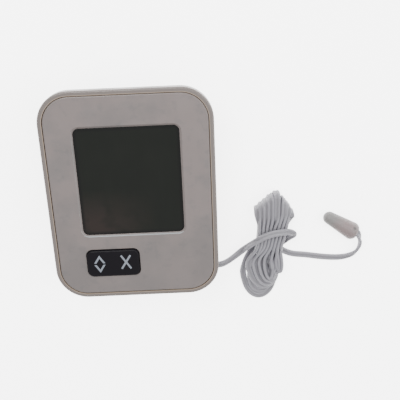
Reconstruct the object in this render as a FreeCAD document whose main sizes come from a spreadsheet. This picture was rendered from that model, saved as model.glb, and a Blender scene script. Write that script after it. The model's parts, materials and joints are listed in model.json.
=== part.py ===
import FreeCAD, Part
import math
import os
import re

import Sketcher
from FreeCAD import Vector

# A maximum minimum thermometer with a probe on a thin twin lead.
# It lies on its back: X runs across the display to the right, Y up the display and Z out of it.
# The origin is under the middle of the case, on the surface that it lies on.  Lengths are in millimetres.

DIMENSIONS = [
    # name, value, what it is
    ("case_width", 70.0, "width over the rim"),
    ("case_height", 90.0, "height over the rim"),
    ("case_depth", 21.0, "height of the face above the back"),
    ("case_corner", 13.3, "corner radius of the rim"),
    ("rim_width", 1.9, "width of the rim that shows round the front cover"),
    ("rim_height", 4.0, "height of the upright band of the rim"),
    ("rim_round", 0.8, "rounding of the rim's edges"),
    ("rim_step", 0.5, "how far the tub starts inside the rim"),
    ("draft", 13.0, "slope of the tub's sides in degrees"),
    ("back_round", 2.5, "rounding of the tub's back edge"),
    ("back_wall", 2.6, "thickness of the back"),
    ("ledge", 1.0, "width of the ledge that the front cover sits on"),
    ("boss_radius", 3.6, "outer radius of the rear shell's screw bosses"),
    ("boss_height", 6.4, "height of those bosses over the back wall"),
    ("screw_side", 10.0, "case screws, from the case's sides"),
    ("screw_end", 10.5, "case screws, from the case's ends"),
    ("lead_screw_side", 16.0, "case screw beside the lead, from the case's side"),
    ("lead_screw_end", 9.5, "case screw beside the lead, from the case's end"),
    ("screw_radius", 1.0, "radius of a case screw's thread"),
    ("screw_length", 13.0, "length of a case screw under its head"),
    ("screw_head_radius", 2.1, "radius of a case screw's head"),
    ("screw_head_height", 1.5, "height of a case screw's head"),
    ("cross_slot", 0.5, "width of the crossed slots in a screw's head"),
    ("screw_gap", 0.2, "room round a screw in the part it clamps"),
    ("thread_gap", 0.05, "room round a screw in the part it bites"),
    ("head_seat", 3.2, "depth of the screw heads' seats from the back"),
    ("cover_wall", 2.0, "thickness of the front cover"),
    ("cover_gap", 0.25, "gap between the front cover and the rim"),
    ("cover_round", 0.5, "rounding of the front cover's edge"),
    ("skirt_wall", 1.2, "thickness of the front cover's locating skirt"),
    ("skirt_depth", 1.6, "depth of that skirt"),
    ("skirt_gap", 0.3, "gap between that skirt and the tub"),
    ("post_radius", 2.6, "radius of the front cover's screw posts"),
    ("post_gap", 0.2, "gap between a post and its boss"),
    ("window_x", -0.2, "middle of the window across"),
    ("window_y", 7.15, "middle of the window up"),
    ("window_inset", 0.85, "display's glass that reaches past the window at its sides"),
    ("window_margin", 1.0, "window past the display's glass at its ends"),
    ("window_corner", 2.4, "corner radius of the window"),
    ("bevel_width", 0.8, "width of the bevel round the window"),
    ("bevel_depth", 0.7, "depth of that bevel"),
    ("lens_thick", 1.0, "thickness of the window pane"),
    ("lens_gap", 0.1, "gap round the window pane"),
    ("lens_round", 0.1, "rounding of the window pane's front edge"),
    ("lens_ledge", 1.6, "width of the ledge under the window pane"),
    ("ledge_thick", 0.6, "thickness of that ledge"),
    ("film_thick", 0.2, "thickness of the polariser and the reflector"),
    ("film_inset", 0.8, "how far the films stop inside the glass"),
    ("film_corner", 0.8, "corner radius of the films"),
    ("display_gap", 0.2, "gap between the display and the cover's ledge"),
    ("glass_width", 44.0, "width of the display's glass"),
    ("glass_height", 43.6, "height of the display's front glass"),
    ("glass_thick", 0.65, "thickness of each glass"),
    ("glass_corner", 0.15, "corner radius of the glass"),
    ("glass_lip", 2.4, "strip of the front glass that carries the contacts"),
    ("glass_gap", 0.15, "gap between the glass and its frame"),
    ("frame_wall", 1.45, "wall of the display's frame"),
    ("frame_shelf", 2.0, "width of the frame's shelf under the glass"),
    ("zebra_width", 1.6, "width of the connector strip"),
    ("board_side", 3.1, "room beside the circuit board"),
    ("board_end", 7.1, "room past the circuit board's ends"),
    ("board_corner", 3.0, "corner radius of the circuit board"),
    ("board_thick", 1.0, "thickness of the circuit board"),
    ("board_gap", 0.3, "gap between the board and what passes it"),
    ("board_screw_side", 2.4, "board screws, from the board's sides"),
    ("board_screw_y", 12.0, "board screws, from the middle"),
    ("board_screw_radius", 0.8, "radius of a board screw's thread"),
    ("board_screw_length", 3.4, "length of a board screw under its head"),
    ("board_head_radius", 1.6, "radius of a board screw's head"),
    ("board_head_height", 1.0, "height of a board screw's head"),
    ("board_boss_radius", 1.9, "radius of the cover's bosses for the board"),
    ("resin_x", -6.0, "middle of the resin over the chip across"),
    ("resin_y", 4.0, "middle of the resin over the chip up"),
    ("resin_radius", 6.0, "radius of that resin"),
    ("resin_height", 1.5, "height of that resin"),
    ("resin_round", 1.4, "rounding of that resin"),
    ("crystal_x", 7.0, "near end of the timing crystal across"),
    ("crystal_y", -3.0, "timing crystal up"),
    ("crystal_radius", 1.0, "radius of the timing crystal"),
    ("crystal_length", 6.0, "length of the timing crystal"),
    ("crystal_wire", 0.15, "radius of its wires"),
    ("crystal_pitch", 1.0, "pitch of its wires"),
    ("crystal_reach", 1.5, "length of its wires"),
    ("resistor_x", -19.0, "first resistor across"),
    ("resistor_y", -3.4, "resistors up"),
    ("resistor_pitch", 5.0, "pitch of the resistors"),
    ("resistor_row", 4.0, "how far every other resistor lies lower"),
    ("resistor_width", 2.0, "width of a resistor"),
    ("resistor_length", 1.25, "length of a resistor"),
    ("resistor_height", 0.5, "height of a resistor"),
    ("capacitor_x", 8.6, "first capacitor across"),
    ("capacitor_y", 7.0, "capacitors up"),
    ("capacitor_pitch", 4.5, "pitch of the capacitors"),
    ("capacitor_row", 3.0, "how far every other capacitor lies higher"),
    ("capacitor_width", 1.25, "width of a capacitor"),
    ("capacitor_length", 2.0, "length of a capacitor"),
    ("capacitor_height", 0.9, "height of a capacitor"),
    ("sensor_x", -21.0, "room sensor across"),
    ("sensor_y", 21.0, "room sensor up"),
    ("sensor_radius", 1.3, "radius of the room sensor's bead"),
    ("sensor_drop", 5.0, "how far that bead hangs under the board"),
    ("sensor_wire", 0.22, "radius of the room sensor's wires"),
    ("sensor_pitch", 1.4, "pitch of those wires"),
    ("key_x", -9.92, "middle of the key pad across"),
    ("key_y", -28.58, "middle of the key pad up"),
    ("key_width", 22.25, "width of the key pad"),
    ("key_height", 12.1, "height of the key pad"),
    ("key_corner", 2.5, "corner radius of the key pad"),
    ("key_proud", 1.0, "how far the key pad stands out of the face"),
    ("key_round", 0.7, "rounding of the key pad's top edge"),
    ("key_gap", 0.3, "gap between the key pad and the front cover"),
    ("key_skirt", 0.4, "how far the key pad reaches below the cover's wall"),
    ("axle_depth", 3.2, "depth of the key pad's axle below the face"),
    ("axle_radius", 1.0, "radius of the key pad's axle"),
    ("axle_gap", 0.06, "running clearance of that axle"),
    ("web_width", 5.0, "width of the web that carries the axle"),
    ("ear_width", 4.4, "width of the cover's bearing ears"),
    ("ear_thick", 2.2, "thickness of those ears"),
    ("ear_wall", 1.0, "material under the axle in an ear"),
    ("plunger_x", 7.0, "plungers, from the middle of the key pad"),
    ("plunger_radius", 1.6, "radius of a plunger"),
    ("mat_width", 21.0, "width of the dome mat"),
    ("mat_height", 10.0, "height of the dome mat"),
    ("mat_corner", 1.5, "corner radius of the dome mat"),
    ("mat_thick", 0.8, "thickness of the dome mat"),
    ("dome_radius", 3.2, "radius of a dome at its foot"),
    ("dome_height", 1.2, "height of a dome"),
    ("dome_slope", 30.0, "slope of a dome's side from upright in degrees"),
    ("symbol_thick", 0.12, "thickness of the inlaid symbols"),
    ("symbol_stroke", 0.8, "stroke of the symbols"),
    ("symbol_width", 4.8, "width of a symbol"),
    ("arrow_height", 3.7, "height of one arrowhead"),
    ("arrow_split", 0.7, "gap between the two arrowheads"),
    ("arrows_x", -5.75, "arrowheads, from the middle of the key pad"),
    ("cross_x", 5.45, "cross, from the middle of the key pad"),
    ("cross_y", 0.5, "cross, above the middle of the key pad"),
    ("cross_height", 6.6, "height of the cross"),
    ("cell_radius", 5.25, "radius of the battery cell"),
    ("cell_length", 43.7, "length of the battery cell without its nub"),
    ("nub_radius", 1.9, "radius of the battery cell's nub"),
    ("nub_length", 0.8, "length of the battery cell's nub"),
    ("cell_clear", 0.5, "room between the cell and the door"),
    ("bay_y", -22.5, "middle of the battery bay up"),
    ("bay_length", 50.0, "inner length of the battery bay"),
    ("bay_room", 0.8, "room across the cell in its bay"),
    ("bay_wall", 1.2, "thickness of the battery bay's walls"),
    ("roof_gap", 0.3, "room between the cell and the bay's roof"),
    ("roof_thick", 1.0, "thickness of the bay's roof"),
    ("board_lift", 0.4, "gap between the bay's roof and the board"),
    ("contact_thick", 0.4, "thickness of the battery's contact plates"),
    ("contact_width", 9.0, "width of those plates"),
    ("contact_tab", 3.0, "width of the tabs that rise to the board"),
    ("tab_gap", 0.2, "room round a tab"),
    ("spring_wire", 0.6, "wire of the battery spring"),
    ("spring_radius", 3.4, "radius of the battery spring"),
    ("spring_turns", 3.0, "turns of the battery spring"),
    ("flush_gap", 0.1, "how far the door and the stand lie inside the back"),
    ("door_thick", 1.6, "thickness of the battery door"),
    ("door_gap", 0.2, "gap round the battery door"),
    ("door_lap", 1.5, "ledge that the battery door rests on"),
    ("door_corner", 1.5, "corner radius of the battery door"),
    ("hook_x", 14.0, "hooks of the battery door, from the middle"),
    ("hook_width", 6.0, "width of a hook"),
    ("hook_reach", 0.9, "how far a hook laps the back wall"),
    ("hook_lift", 0.45, "gap between a hook and the back wall"),
    ("hook_thick", 0.9, "thickness of a hook"),
    ("latch_width", 10.0, "width of the battery door's spring latch"),
    ("latch_slit", 0.8, "slits beside that latch"),
    ("latch_length", 8.0, "length of those slits"),
    ("grip_pitch", 1.8, "pitch of the thumb grooves on the latch"),
    ("grip_width", 0.7, "width of a thumb groove"),
    ("grip_depth", 0.35, "depth of a thumb groove"),
    ("stand_y", -9.0, "stand's axle above the middle"),
    ("stand_width", 20.0, "width of the stand leg"),
    ("stand_length", 31.0, "length of the stand leg from its axle"),
    ("stand_thick", 1.8, "thickness of the stand leg"),
    ("stand_gap", 0.3, "gap round the stand leg"),
    ("stand_tail", 0.9, "stand leg below its axle"),
    ("stand_room", 2.4, "room below the axle for the leg to swing"),
    ("stand_corner", 3.0, "corner radius of the stand's free end"),
    ("stand_rail", 4.0, "width of the stand leg's rails"),
    ("panel_depth", 0.6, "depth of the panel between those rails"),
    ("stand_roof", 1.2, "thickness of the back over the stand"),
    ("pin_radius", 0.7, "radius of the stand's axle pins"),
    ("pin_gap", 0.06, "running clearance of those pins"),
    ("pin_reach", 1.6, "how far those pins reach into the back"),
    ("notch_radius", 4.5, "finger notch at the stand's free end"),
    ("hang_y", 31.5, "keyhole's round end above the middle"),
    ("hang_radius", 3.5, "radius of the keyhole's round end"),
    ("hang_slot", 1.8, "half width of the keyhole's slot"),
    ("hang_rise", 5.0, "rise of the keyhole's slot"),
    ("vent_x", -22.5, "first vent slot across"),
    ("vent_y", 17.0, "middle of the vent slots up"),
    ("vent_pitch", 2.4, "pitch of the vent slots"),
    ("vent_width", 1.2, "width of a vent slot"),
    ("vent_length", 11.0, "length of a vent slot"),
    ("lead_end", 7.7, "lead's exit above the case's lower end"),
    ("lead_z", 9.8, "height of the lead's exit"),
    ("grommet_side", 2.2, "outer end of the grommet, from the case's side"),
    ("lead_radius", 1.1, "radius of the round solid that stands for the lead"),
    ("grommet_radius", 2.2, "radius of the grommet"),
    ("grommet_gap", 0.05, "room round the grommet"),
    ("grommet_length", 5.8, "length of the grommet"),
    ("flange_radius", 2.7, "radius of the grommet's flange"),
    ("flange_thick", 0.8, "thickness of the grommet's flange"),
    ("lead_inward", 3.4, "run of the lead inward from the grommet"),
    ("lead_across", 3.7, "run of the lead from its exit up to its pads"),
    ("lead_climb", 1.4, "rise of the lead along that run"),
    ("probe_length", 17.4, "length of the probe"),
    ("probe_radius", 4.05, "radius of the probe's open end"),
    ("probe_tip_radius", 2.85, "radius of the probe's tip"),
    ("probe_round", 2.9, "rounding of the probe's open end"),
    ("probe_wall", 0.8, "wall of the probe"),
    ("bead_radius", 0.8, "radius of the sensor bead"),
]

# Places and sizes that follow from the dimensions.
RULES = {
    "screw_x": "case_width / 2 - screw_side",
    "screw_y": "case_height / 2 - screw_end",
    "lead_screw_x": "case_width / 2 - lead_screw_side",
    "lead_screw_y": "case_height / 2 - lead_screw_end",
    "window_width": "glass_width - 2 * window_inset",
    "window_height": "glass_height + 2 * window_margin",
    "lead_y": "lead_end - case_height / 2",
    "lead_start": "case_width / 2 - grommet_side",
    "grommet_inner": "lead_start - grommet_length",
    "seat_width": "case_width - 2 * rim_width",
    "seat_height": "case_height - 2 * rim_width",
    "seat_corner": "case_corner - rim_width",
    "cavity_width": "seat_width - 2 * ledge",
    "cavity_height": "seat_height - 2 * ledge",
    "board_width": "cavity_width - 2 * board_side",
    "board_height": "cavity_height - 2 * board_end",
    "board_screw_x": "board_width / 2 - board_screw_side",
    "cavity_corner": "seat_corner - ledge",
    "tub_width": "case_width - 2 * rim_step",
    "tub_height": "case_height - 2 * rim_step",
    "tub_corner": "case_corner - rim_step",
    "rim_low": "case_depth - rim_height",
    "cover_low": "case_depth - cover_wall",
    "boss_top": "back_wall + boss_height",
    "post_low": "boss_top + post_gap",
    "lens_top": "case_depth - bevel_depth",
    "lens_low": "lens_top - lens_thick",
    "ledge_low": "lens_low - ledge_thick",
    "film_top": "ledge_low - display_gap",
    "glass_top": "film_top - film_thick",
    "rear_glass_low": "glass_top - 2 * glass_thick",
    "reflector_low": "rear_glass_low - film_thick",
    "rear_glass_height": "glass_height - glass_lip",
    "rear_glass_y": "window_y + glass_lip / 2",
    "film_width": "glass_width - 2 * film_inset",
    "film_height": "rear_glass_height - 2 * film_inset",
    "strip_width": "glass_width - 2 * frame_shelf",
    "strip_y": "window_y - glass_height / 2 + glass_lip / 2",
    "tab_x": "(bay_length - contact_thick) / 2",
    "tab_slot_width": "contact_thick + 2 * tab_gap",
    "tab_slot_length": "contact_tab + 2 * tab_gap",
    "door_top": "flush_gap + door_thick",
    "door_recess": "door_top + flush_gap",
    "cell_low": "door_top + cell_clear",
    "cell_z": "cell_low + cell_radius",
    "bay_height": "2 * cell_radius + bay_room",
    "bay_top": "cell_low + 2 * cell_radius + roof_gap",
    "roof_top": "bay_top + roof_thick",
    "board_low": "roof_top + board_lift",
    "board_top": "board_low + board_thick",
    "mat_top": "board_top + mat_thick",
    "dome_top": "mat_top + dome_height",
    "axle_z": "case_depth - axle_depth",
    "key_low": "cover_low - key_skirt",
    "key_top": "case_depth + key_proud",
    "ear_y": "key_height / 2 + key_gap + ear_thick / 2",
    "door_width": "bay_length + 2 * door_lap - 2 * door_gap",
    "door_height": "bay_height + 2 * door_lap - 2 * door_gap",
    "cell_end": "bay_length / 2 - contact_thick",
    "stand_top": "flush_gap + stand_thick",
    "stand_recess": "stand_top + stand_gap",
    "pin_z": "flush_gap + stand_thick / 2",
    "stand_reach": "stand_width / 2 + stand_gap + pin_reach",
}

document = FreeCAD.newDocument("thermometer")
sheet = document.addObject("Spreadsheet::Sheet", "Sizes")
for line, (name, number, meaning) in enumerate(DIMENSIONS, start=1):
    sheet.set(f"A{line}", meaning)
    sheet.set(f"B{line}", str(number))
    sheet.setAlias(f"B{line}", name)
document.recompute()
CELLS = {name for name, number, meaning in DIMENSIONS}
pieces = []


def formula(text):
    """Write a rule in plain names as an expression on the sheet's cells."""
    def refer(match):
        name = match.group(0)
        if name in RULES:
            return "(" + formula(RULES[name]) + ")"
        return "Sizes." + name if name in CELLS else name
    return re.sub(r"[a-z][a-z_]*", refer, str(text))


def value(text):
    """The number that a rule gives now."""
    return float(sheet.evalExpression(formula(text)))


# ---------------------------------------------------------------- sketches and features

def new_body(label):
    body = document.addObject("PartDesign::Body", label)
    pieces.append(body)
    return body


def new_sketch(body, across="0", up="0", out="0", plane="XY_Plane"):
    """An empty sketch on one of the body's own planes, moved by three rules along its own axes."""
    drawing = body.newObject("Sketcher::SketchObject", body.Label + "_sketch")
    base = next(item for item in body.Origin.OriginFeatures if item.Role == plane)
    drawing.AttachmentSupport = [(base, "")]
    drawing.MapMode = "FlatFace"
    for axis, rule in zip("xyz", (across, up, out)):
        drawing.setExpression("AttachmentOffset.Base." + axis, formula(rule))
    return drawing


def drive(drawing, kind, elements, rule):
    """Add one dimension to a sketch and bind it to a rule."""
    index = drawing.addConstraint(Sketcher.Constraint(kind, *elements, value(rule)))
    drawing.setExpression(f"Constraints[{index}]", formula(rule))


def rounded_rectangle(drawing, width, height, radius):
    """Four arcs and four lines round the sketch's own origin."""
    half_x, half_y, bend = value(width) / 2, value(height) / 2, value(radius)
    for turn, (side_x, side_y) in enumerate(((1, 1), (-1, 1), (-1, -1), (1, -1))):
        centre = Vector(side_x * (half_x - bend), side_y * (half_y - bend), 0)
        circle = Part.Circle(centre, Vector(0, 0, 1), bend)
        start = turn * math.pi / 2
        drawing.addGeometry(Part.ArcOfCircle(circle, start, start + math.pi / 2))
    arcs = [drawing.Geometry[index] for index in range(4)]
    for index in range(4):
        drawing.addGeometry(Part.LineSegment(arcs[index].EndPoint, arcs[(index + 1) % 4].StartPoint))
    for index in range(4):
        line = 4 + index
        drawing.addConstraint(Sketcher.Constraint("Tangent", index, 2, line, 1))
        drawing.addConstraint(Sketcher.Constraint("Tangent", line, 2, (index + 1) % 4, 1))
        drawing.addConstraint(Sketcher.Constraint("Vertical" if index % 2 else "Horizontal", line))
    for index in (1, 2):
        drawing.addConstraint(Sketcher.Constraint("Equal", 0, index))
    drawing.addConstraint(Sketcher.Constraint("Symmetric", 0, 3, 2, 3, -1, 1))
    drive(drawing, "Radius", (0,), radius)
    drive(drawing, "DistanceX", (1, 3, 0, 3), f"{width} - 2 * ({radius})")
    drive(drawing, "DistanceY", (3, 3, 0, 3), f"{height} - 2 * ({radius})")
    return drawing


def rectangle(drawing, width, height):
    """A plain rectangle round the sketch's own origin."""
    half_x, half_y = value(width) / 2, value(height) / 2
    corners = [Vector(half_x * x, half_y * y, 0) for x, y in ((-1, -1), (1, -1), (1, 1), (-1, 1))]
    for index in range(4):
        drawing.addGeometry(Part.LineSegment(corners[index], corners[(index + 1) % 4]))
    for index in range(4):
        drawing.addConstraint(Sketcher.Constraint("Coincident", index, 2, (index + 1) % 4, 1))
        drawing.addConstraint(Sketcher.Constraint("Vertical" if index % 2 else "Horizontal", index))
    drawing.addConstraint(Sketcher.Constraint("Symmetric", 0, 1, 2, 1, -1, 1))
    drive(drawing, "DistanceX", (0, 1, 0, 2), width)
    drive(drawing, "DistanceY", (1, 1, 1, 2), height)
    return drawing


def circle(drawing, radius, x="0", y="0"):
    """A circle whose centre two rules place from the sketch's own origin."""
    centre = Vector(value(x), value(y), 0)
    index = drawing.addGeometry(Part.Circle(centre, Vector(0, 0, 1), value(radius)))
    drive(drawing, "Radius", (index,), radius)
    for kind, rule in (("DistanceX", x), ("DistanceY", y)):
        drive(drawing, kind, (-1, 1, index, 3), rule)
    return drawing


def slot(drawing, width, height):
    """An upright slot with round ends."""
    return rounded_rectangle(drawing, width, height, f"{ROUND_END} * ({width})")


def circles(drawing, radius, places):
    """Circles of one size at several places."""
    for x, y in places:
        circle(drawing, radius, x, y)
    return drawing


def extrude(kind, body, drawing, length, down=False, taper=None, both_ways=False):
    """Pad or pocket a sketch; down means against the sketch's normal."""
    feature = body.newObject("PartDesign::" + kind, body.Label + "_" + kind.lower())
    feature.Profile = drawing
    feature.setExpression("Length", formula(length))
    feature.Reversed = down if kind == "Pad" else not down
    if taper:
        feature.setExpression("TaperAngle", formula(taper))
    if both_ways:
        feature.SideType = "Symmetric"
    document.recompute()
    return feature


def pad(body, drawing, length, **options):
    return extrude("Pad", body, drawing, length, **options)


def pocket(body, drawing, length, **options):
    """Cut a sketch out of the body, and make sure that it removes something."""
    before = body.Shape.Volume
    feature = extrude("Pocket", body, drawing, length, **options)
    if body.Shape.Volume >= before:
        raise RuntimeError(f"{feature.Label} removes nothing")
    return feature


def round_edges(body, radius, picks):
    """Fillet the edges that picks says belong to the rounding."""
    base = body.Tip
    names = [f"Edge{index}" for index, edge in enumerate(base.Shape.Edges, start=1) if picks(edge)]
    feature = body.newObject("PartDesign::Fillet", body.Label + "_round")
    feature.Base = (base, names)
    feature.setExpression("Radius", formula(radius))
    document.recompute()
    return feature


def flat_at(level, reach=0):
    """A test for edges that lie flat at one height, outside a half width."""
    height = value(level)

    def picks(edge):
        box = edge.BoundBox
        level_edge = abs(box.ZMin - height) < 0.001 and abs(box.ZMax - height) < 0.001
        return level_edge and max(abs(box.XMax), abs(box.XMin), abs(box.YMax), abs(box.YMin)) > reach
    return picks


def slab(label, width, height, radius, low, thick, across="0", up="0"):
    """A plate with rounded corners."""
    body = new_body(label)
    pad(body, rounded_rectangle(new_sketch(body, across, up, low), width, height, radius), thick)
    return body


def solid(label, shape):
    """A piece whose shape is worked out from the sheet's numbers."""
    feature = document.addObject("Part::Feature", label)
    feature.Shape = shape
    pieces.append(feature)
    return feature


VENT_COUNT = 4
GRIP_COUNT = 3
RESISTOR_COUNT = 5
CAPACITOR_COUNT = 4
# Corner radius of a round-ended slot as a share of its width: a hair under a half keeps its short sides.
ROUND_END = 0.49
# Length of the crossed slots in a screw's head, as a share of the head's radius.
CROSS_SHARE = 1.3

# The lower right screw makes room for the lead.
CASE_SCREWS = [("screw_x", "screw_y"), ("-screw_x", "screw_y"), ("-screw_x", "-screw_y"),
               ("lead_screw_x", "-lead_screw_y")]
BOARD_SCREWS = [(side + "board_screw_x", end + "board_screw_y") for side in ("", "-") for end in ("", "-")]


# ---------------------------------------------------------------- the case

def make_rear_shell():
    """The tub with its rim, screw bosses, battery bay, stand recess, keyhole, vents and lead hole."""
    shell = new_body("rear_shell")
    rim = new_sketch(shell, out="rim_low")
    pad(shell, rounded_rectangle(rim, "case_width", "case_height", "case_corner"), "rim_height")
    tub = new_sketch(shell, out="rim_low")
    pad(shell, rounded_rectangle(tub, "tub_width", "tub_height", "tub_corner"), "rim_low", down=True,
        taper="-draft")
    round_edges(shell, "back_round", flat_at("0"))
    round_edges(shell, "rim_round", flat_at("case_depth"))
    seat = new_sketch(shell, out="case_depth")
    pocket(shell, rounded_rectangle(seat, "seat_width", "seat_height", "seat_corner"), "cover_wall",
           down=True)
    cavity = new_sketch(shell, out="cover_low")
    pocket(shell, rounded_rectangle(cavity, "cavity_width", "cavity_height", "cavity_corner"),
           "cover_low - rim_low", down=True)
    hollow = new_sketch(shell, out="rim_low")
    pocket(shell, rounded_rectangle(hollow, "cavity_width", "cavity_height", "cavity_corner"),
           "rim_low - back_wall", down=True, taper="-draft")
    pad(shell, circles(new_sketch(shell, out="back_wall"), "boss_radius", CASE_SCREWS), "boss_height")
    add_battery_bay(shell)
    add_stand_recess(shell)
    pocket(shell, circles(new_sketch(shell), "screw_head_radius + screw_gap", CASE_SCREWS), "head_seat")
    pocket(shell, circles(new_sketch(shell), "screw_radius + screw_gap", CASE_SCREWS), "boss_top")
    pocket(shell, circle(new_sketch(shell), "hang_radius", y="hang_y"), "back_wall")
    keyhole = new_sketch(shell, up="hang_y + hang_rise / 2")
    pocket(shell, slot(keyhole, "2 * hang_slot", "hang_rise + 2 * hang_slot"), "back_wall")
    for step in range(VENT_COUNT):
        vent = new_sketch(shell, f"vent_x + {step} * vent_pitch", "vent_y")
        pocket(shell, slot(vent, "vent_width", "vent_length"), "back_wall")
    hole = new_sketch(shell, "lead_y", "lead_z", "grommet_inner", plane="YZ_Plane")
    pocket(shell, circle(hole, "grommet_radius + grommet_gap"), "case_width / 4")
    seat = new_sketch(shell, "lead_y", "lead_z", "grommet_inner - flange_thick", plane="YZ_Plane")
    pocket(shell, circle(seat, "flange_radius + grommet_gap"), "2 * flange_thick")


def add_battery_bay(shell):
    """A box on the back wall that opens to the back, with a ledge for the door and slots for its hooks."""
    bay = new_sketch(shell, up="bay_y", out="back_wall")
    pad(shell, rectangle(bay, "bay_length + 2 * bay_wall", "bay_height + 2 * bay_wall"),
        "roof_top - back_wall")
    pocket(shell, rectangle(new_sketch(shell, up="bay_y"), "bay_length", "bay_height"), "bay_top")
    ledge = new_sketch(shell, up="bay_y")
    pocket(shell, rounded_rectangle(ledge, "door_width + 2 * door_gap", "door_height + 2 * door_gap",
                                    "door_corner + door_gap"), "door_recess")
    for side in (-1, 1):
        catch = new_sketch(shell, f"{side} * hook_x", "bay_y + bay_height / 2 + bay_wall / 2", "back_wall")
        pocket(shell, rectangle(catch, "hook_width + 2 * door_gap", "2 * bay_wall"),
               "2 * hook_lift + hook_thick + door_gap")
        tab = new_sketch(shell, f"{side} * tab_x", "bay_y", "bay_top")
        pocket(shell, rectangle(tab, "tab_slot_width", "tab_slot_length"), "roof_thick")


def add_stand_recess(shell):
    """A recess for the leg with pin holes in its sides and a notch for a finger."""
    middle = "stand_y + (stand_length - stand_room) / 2"
    length = "stand_length + stand_room"
    roof = new_sketch(shell, up=middle, out="back_wall")
    pad(shell, rectangle(roof, "2 * stand_reach + 2 * stand_roof", f"{length} + 2 * stand_gap"),
        "stand_recess + stand_roof - back_wall")
    recess = new_sketch(shell, up=f"{middle} + stand_gap / 2")
    pocket(shell, rounded_rectangle(recess, "stand_width + 2 * stand_gap", f"{length} + stand_gap",
                                    "stand_corner"), "stand_recess")
    square = new_sketch(shell, up="stand_y + stand_gap - stand_room / 2")
    pocket(shell, rectangle(square, "stand_width + 2 * stand_gap", "stand_room + 2 * stand_gap"),
           "stand_recess")
    pins = new_sketch(shell, "stand_y", "pin_z", plane="YZ_Plane")
    pocket(shell, circle(pins, "pin_radius + pin_gap"), "2 * stand_reach", both_ways=True)
    notch = new_sketch(shell, up="stand_y + stand_length + stand_gap")
    pocket(shell, circle(notch, "notch_radius"), "stand_top")


def make_front_cover():
    """The face with its window, key opening, locating skirt, screw posts and key bearings."""
    cover = new_body("front_cover")
    face = new_sketch(cover, out="cover_low")
    pad(cover, rounded_rectangle(face, "seat_width - 2 * cover_gap", "seat_height - 2 * cover_gap",
                                 "seat_corner - cover_gap"), "cover_wall")
    round_edges(cover, "cover_round", flat_at("case_depth"))
    for kind, inset in ((pad, "skirt_gap"), (pocket, "skirt_gap + skirt_wall")):
        skirt = new_sketch(cover, out="cover_low - skirt_depth")
        rounded_rectangle(skirt, f"cavity_width - 2 * ({inset})", f"cavity_height - 2 * ({inset})",
                          f"cavity_corner - ({inset})")
        kind(cover, skirt, "skirt_depth")
    add_window(cover)
    opening = new_sketch(cover, "key_x", "key_y", "cover_low")
    pocket(cover, rounded_rectangle(opening, "key_width + 2 * key_gap", "key_height + 2 * key_gap",
                                    "key_corner + key_gap"), "cover_wall")
    posts = new_sketch(cover, out="post_low")
    pad(cover, circles(posts, "post_radius", CASE_SCREWS), "cover_low - post_low")
    threads = new_sketch(cover, out="post_low")
    pocket(cover, circles(threads, "screw_radius + thread_gap", CASE_SCREWS),
           "head_seat + screw_length + screw_gap - post_low")
    bosses = new_sketch(cover, out="board_top")
    pad(cover, circles(bosses, "board_boss_radius", BOARD_SCREWS), "cover_low - board_top")
    threads = new_sketch(cover, out="board_top")
    pocket(cover, circles(threads, "board_screw_radius + thread_gap", BOARD_SCREWS),
           "board_screw_length - board_thick + screw_gap")
    for side in (-1, 1):
        ear = new_sketch(cover, "key_x", f"key_y + {side} * ear_y", "axle_z - axle_radius - ear_wall")
        pad(cover, rectangle(ear, "ear_width", "ear_thick"),
            "axle_depth - cover_wall + axle_radius + ear_wall")
    bearing = new_sketch(cover, "key_x", "axle_z", "-key_y", plane="XZ_Plane")
    pocket(cover, circle(bearing, "axle_radius + axle_gap"), "2 * (ear_y + ear_thick)", both_ways=True)


def add_window(cover):
    """A bevelled recess for the pane, with a ledge behind it."""
    back = new_sketch(cover, "window_x", "window_y", "ledge_low")
    pad(cover, rounded_rectangle(back, "glass_width", "glass_height", "window_corner"),
        "cover_low - ledge_low")
    recess = new_sketch(cover, "window_x", "window_y", "case_depth")
    pocket(cover, rounded_rectangle(recess, "window_width + 2 * lens_gap", "window_height + 2 * lens_gap",
                                    "window_corner + lens_gap"), "case_depth - lens_low", down=True)
    view = new_sketch(cover, "window_x", "window_y", "ledge_low")
    pocket(cover, rounded_rectangle(view, "window_width - 2 * lens_ledge", "window_height - 2 * lens_ledge",
                                    "window_corner - lens_ledge / 2"), "ledge_thick")
    bevel = new_sketch(cover, "window_x", "window_y", "case_depth")
    pocket(cover, rounded_rectangle(bevel, "window_width + 2 * lens_gap + 2 * bevel_width",
                                    "window_height + 2 * lens_gap + 2 * bevel_width",
                                    "window_corner + lens_gap + bevel_width"),
           "bevel_depth", down=True, taper="-atan(bevel_width / bevel_depth)")


# ---------------------------------------------------------------- the display

def make_display():
    """From the pane down to the connector strip."""
    lens = slab("display_lens", "window_width", "window_height", "window_corner", "lens_low", "lens_thick",
                "window_x", "window_y")
    round_edges(lens, "lens_round", flat_at("lens_top"))
    slab("lcd_polariser", "film_width", "film_height", "film_corner", "glass_top", "film_thick",
         "window_x", "rear_glass_y")
    slab("lcd_front_glass", "glass_width", "glass_height", "glass_corner", "glass_top - glass_thick",
         "glass_thick", "window_x", "window_y")
    slab("lcd_rear_glass", "glass_width", "rear_glass_height", "glass_corner", "rear_glass_low",
         "glass_thick", "window_x", "rear_glass_y")
    slab("lcd_reflector", "film_width", "film_height", "film_corner", "reflector_low", "film_thick",
         "window_x", "rear_glass_y")
    slab("zebra_strip", "strip_width", "zebra_width", "glass_corner", "board_top",
         "glass_top - glass_thick - board_top", "window_x", "strip_y")


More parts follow.
